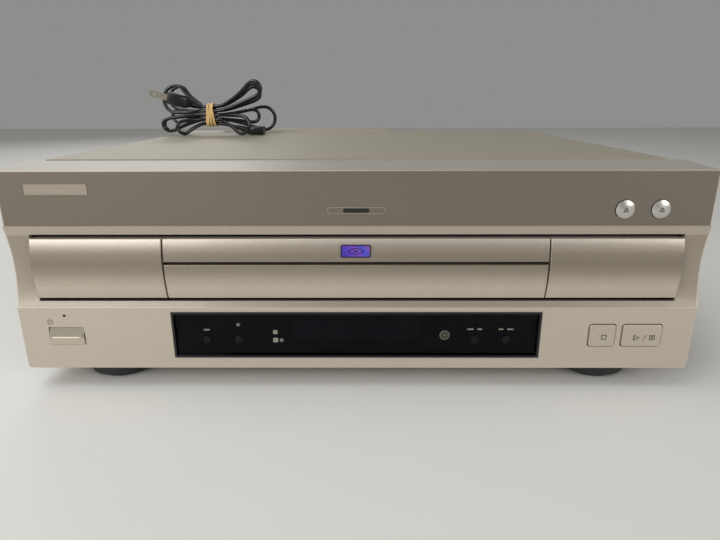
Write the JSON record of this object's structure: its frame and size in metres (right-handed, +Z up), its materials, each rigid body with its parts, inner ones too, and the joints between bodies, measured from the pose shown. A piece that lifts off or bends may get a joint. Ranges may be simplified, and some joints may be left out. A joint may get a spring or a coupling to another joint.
{
  "type": "laserdisc player",
  "caption": "Rack-width optical disc player with a wide drawer for large discs, a smaller drawer inside it, a display window, push buttons and a tied mains lead on top.",
  "frame": {"origin": "middle of the footprint, on the surface that the feet stand on", "axes": "+X to the viewer's right, -Y out of the front panel, +Z up"},
  "size_m": [0.4256, 0.3848, 0.1976],
  "materials": {
    "champagne_paint": "metallic champagne-silver paint, satin",
    "door_paint": "metallic champagne-silver paint, satin",
    "cover_paint": "fine-textured champagne paint, satin",
    "zinc_steel": "zinc-plated sheet, satin",
    "rear_steel": "plated sheet, satin",
    "screw_steel": "plated, bright",
    "foot_plastic": "matte moulded",
    "foot_rubber": "matte",
    "black_plastic": "matte moulded",
    "jack_plastic": "matte, coloured rings",
    "tray_plastic": "fine matte",
    "mech_plastic": "matte moulded",
    "acetal": "smooth",
    "frame_black": "gloss",
    "smoked_acrylic": "smoked, polished",
    "display_glass": "clear, with dark grid behind",
    "board_laminate": "lacquered laminate",
    "component": "mixed sleeves and mouldings",
    "button_paint": "metallic champagne-silver paint",
    "button_black": "satin",
    "trim_aluminium": "satin",
    "badge": "iridescent film under lacquer",
    "rubber_belt": "matte",
    "motor_steel": "plated, satin",
    "bright_steel": "ground",
    "cast_alloy": "cast, satin",
    "heat_sink": "black anodised",
    "transformer": "varnished laminations",
    "ribbon": "smooth",
    "cord_vinyl": "satin vinyl",
    "plug_vinyl": "moulded vinyl",
    "tan_rubber": "matte"
  },
  "bodies": {
    "chassis": {"front_panel": "champagne_paint", "top_cover": "cover_paint", "bottom_chassis": "zinc_steel", "rear_panel": "rear_steel", "case_screws": "screw_steel", "feet": "foot_plastic", "foot_pads": "foot_rubber", "phono_jacks": "jack_plastic", "signal_sockets": "black_plastic", "mains_inlet": "black_plastic", "display_frame": "frame_black", "display_window": "smoked_acrylic", "fluorescent_display": "display_glass", "front_boards": "board_laminate", "fascia_trim": "trim_aluminium", "sensor_window": "frame_black", "tray_guides": "mech_plastic", "loading_motor": "motor_steel", "loading_belt": "rubber_belt", "lift_posts": "zinc_steel", "clamp_bridge": "zinc_steel", "circuit_boards": "board_laminate", "board_parts": "component", "heat_sink": "heat_sink", "transformer": "transformer", "flat_cables": "ribbon", "cord_hank": "cord_vinyl", "mains_plug": "plug_vinyl", "cord_connector": "plug_vinyl", "rubber_band": "tan_rubber"},
    "ld_tray": {"ld_tray": "tray_plastic", "tray_channel": "tray_plastic", "tray_rack": "tray_plastic", "tray_cap_left": "door_paint", "tray_cap_right": "door_paint", "tray_lower_band": "door_paint"},
    "dvd_tray": {"dvd_tray": "tray_plastic", "dvd_tray_front": "door_paint", "disc_badge": "badge"},
    "loading_gear": {"loading_gear": "acetal"},
    "motor_pulley": {"motor_pulley": "acetal"},
    "drive_base": {"drive_base": "zinc_steel", "drive_motors": "motor_steel", "guide_rails": "bright_steel"},
    "turntable": {"turntable": "mech_plastic"},
    "pickup": {"pickup_carriage": "cast_alloy"},
    "lens": {"lens_holder": "black_plastic"},
    "feed_screw": {"feed_screw": "bright_steel"},
    "lift_cam": {"lift_cam": "acetal"},
    "clamp_arm": {"clamp_arm": "zinc_steel"},
    "clamper": {"clamper": "mech_plastic"},
    "power_button": {"power_button": "button_paint"},
    "stop_button": {"stop_button": "button_paint"},
    "play_button": {"play_button": "button_paint"},
    "dvd_open_button": {"dvd_open_button": "button_paint"},
    "ld_open_button": {"ld_open_button": "button_paint"},
    "side_button": {"side_button": "button_black"},
    "dimmer_button": {"dimmer_button": "button_black"},
    "skip_back_button": {"skip_back_button": "button_black"},
    "skip_forward_button": {"skip_forward_button": "button_black"}
  },
  "joints": [
    {"name": "ld_tray_slide", "type": "slide", "parent": "chassis", "child": "ld_tray", "axis": [0, -1, 0], "range_m": [0, 0.3]},
    {"name": "dvd_tray_slide", "type": "slide", "parent": "ld_tray", "child": "dvd_tray", "axis": [0, -1, 0], "range_m": [0, 0.24]},
    {"name": "loading_gear_turn", "type": "hinge", "parent": "chassis", "child": "loading_gear", "pos_m": [-0.1323, -0.15, 0.08], "axis": [0, 0, 1], "range_deg": [0, 1440]},
    {"name": "motor_pulley_turn", "type": "hinge", "parent": "chassis", "child": "motor_pulley", "pos_m": [-0.088, -0.15, 0.072], "axis": [0, 0, 1], "range_deg": [0, 5400]},
    {"name": "drive_lift", "type": "slide", "parent": "chassis", "child": "drive_base", "axis": [0, 0, 1], "range_m": [0, 0.012]},
    {"name": "lift_cam_slide", "type": "slide", "parent": "chassis", "child": "lift_cam", "axis": [0, -1, 0], "range_m": [0, 0.024]},
    {"name": "turntable_spin", "type": "hinge", "parent": "drive_base", "child": "turntable", "pos_m": [0, -0.018, 0.075], "axis": [0, 0, 1], "continuous": true},
    {"name": "pickup_feed", "type": "slide", "parent": "drive_base", "child": "pickup", "axis": [0, 1, 0], "range_m": [0, 0.119]},
    {"name": "feed_screw_turn", "type": "hinge", "parent": "drive_base", "child": "feed_screw", "pos_m": [0.036, 0.07, 0.056], "axis": [0, 1, 0], "range_deg": [0, 14300]},
    {"name": "lens_focus", "type": "slide", "parent": "pickup", "child": "lens", "axis": [0, 0, 1], "range_m": [-0.0005, 0.0005], "stiffness_N_per_m": 60},
    {"name": "clamp_arm_tilt", "type": "hinge", "parent": "chassis", "child": "clamp_arm", "pos_m": [0, 0.078, 0.112], "axis": [-1, 0, 0], "range_deg": [0, 5]},
    {"name": "clamper_spin", "type": "hinge", "parent": "clamp_arm", "child": "clamper", "pos_m": [0, -0.018, 0.104], "axis": [0, 0, 1], "continuous": true},
    {"name": "power_button_press", "type": "slide", "parent": "chassis", "child": "power_button", "axis": [0, 1, 0], "range_m": [0, 0.0012], "stiffness_N_per_m": 600, "springref_m": -0.001},
    {"name": "stop_button_press", "type": "slide", "parent": "chassis", "child": "stop_button", "axis": [0, 1, 0], "range_m": [0, 0.0012], "stiffness_N_per_m": 600, "springref_m": -0.001},
    {"name": "play_button_press", "type": "slide", "parent": "chassis", "child": "play_button", "axis": [0, 1, 0], "range_m": [0, 0.0012], "stiffness_N_per_m": 600, "springref_m": -0.001},
    {"name": "dvd_open_button_press", "type": "slide", "parent": "chassis", "child": "dvd_open_button", "axis": [0, 1, 0], "range_m": [0, 0.0012], "stiffness_N_per_m": 600, "springref_m": -0.001},
    {"name": "ld_open_button_press", "type": "slide", "parent": "chassis", "child": "ld_open_button", "axis": [0, 1, 0], "range_m": [0, 0.0012], "stiffness_N_per_m": 600, "springref_m": -0.001},
    {"name": "side_button_press", "type": "slide", "parent": "chassis", "child": "side_button", "axis": [0, 1, 0], "range_m": [0, 0.0012], "stiffness_N_per_m": 600, "springref_m": -0.001},
    {"name": "dimmer_button_press", "type": "slide", "parent": "chassis", "child": "dimmer_button", "axis": [0, 1, 0], "range_m": [0, 0.0012], "stiffness_N_per_m": 600, "springref_m": -0.001},
    {"name": "skip_back_button_press", "type": "slide", "parent": "chassis", "child": "skip_back_button", "axis": [0, 1, 0], "range_m": [0, 0.0012], "stiffness_N_per_m": 600, "springref_m": -0.001},
    {"name": "skip_forward_button_press", "type": "slide", "parent": "chassis", "child": "skip_forward_button", "axis": [0, 1, 0], "range_m": [0, 0.0012], "stiffness_N_per_m": 600, "springref_m": -0.001}
  ],
  "couplings": [
    {"joint": "loading_gear_turn", "follows": "ld_tray_slide", "rad_per_m": 83.333},
    {"joint": "motor_pulley_turn", "follows": "ld_tray_slide", "rad_per_m": 312.5},
    {"joint": "lift_cam_slide", "follows": "drive_lift", "ratio": 2},
    {"joint": "feed_screw_turn", "follows": "pickup_feed", "rad_per_m": 2094.4}
  ]
}
